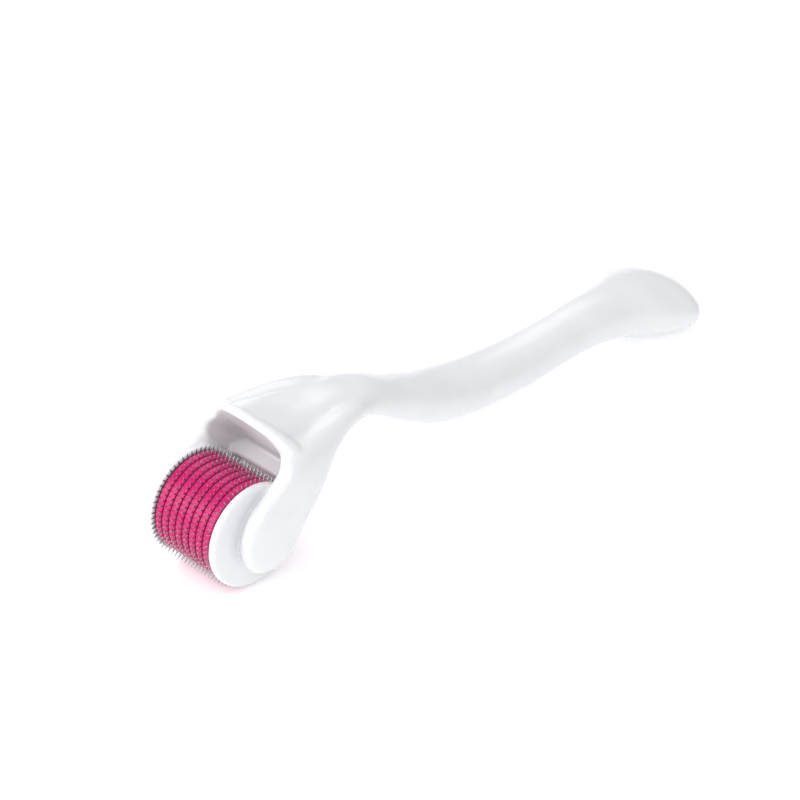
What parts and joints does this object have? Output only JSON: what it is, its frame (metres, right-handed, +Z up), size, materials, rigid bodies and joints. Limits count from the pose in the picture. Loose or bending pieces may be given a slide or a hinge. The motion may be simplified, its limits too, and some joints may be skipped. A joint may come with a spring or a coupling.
{
  "type": "derma roller",
  "caption": "Hand-held skin roller: a curved moulded handle ends in a fork that holds a freely spinning drum of fine needle rings between round flanges.",
  "frame": {"origin": "on the ground, below the middle of the bounding box", "axes": "+X from the drum to the handle's tail, +Y along the drum's axle, +Z up as it rests on the needle tips and the tail"},
  "size_m": [0.1316, 0.0288, 0.0324],
  "materials": {
    "white_plastic": "glossy white moulded ABS",
    "pink_plastic": "glossy magenta-pink moulded plastic",
    "bearing_plastic": "satin natural acetal",
    "needle_steel": "bright ground stainless steel",
    "axle_steel": "plain turned steel"
  },
  "bodies": {
    "handle": {"handle_frame": "white_plastic", "far_bushing": "bearing_plastic", "near_bushing": "bearing_plastic"},
    "roller": {"axle_pin": "axle_steel", "drum_core": "pink_plastic", "far_end_cap": "pink_plastic", "near_end_cap": "pink_plastic", "needle_disc_1": "needle_steel", "needle_disc_2": "needle_steel", "needle_disc_3": "needle_steel", "needle_disc_4": "needle_steel", "needle_disc_5": "needle_steel", "needle_disc_6": "needle_steel", "needle_disc_7": "needle_steel", "needle_disc_8": "needle_steel", "needle_disc_9": "needle_steel", "spacer_ring_1": "pink_plastic", "spacer_ring_2": "pink_plastic", "spacer_ring_3": "pink_plastic", "spacer_ring_4": "pink_plastic", "spacer_ring_5": "pink_plastic", "spacer_ring_6": "pink_plastic", "spacer_ring_7": "pink_plastic", "spacer_ring_8": "pink_plastic"}
  },
  "joints": [
    {"name": "roller_spin", "type": "hinge", "parent": "handle", "child": "roller", "pos_m": [-0.05461, 0, 0.0112], "axis": [0, 1, 0], "continuous": true}
  ]
}
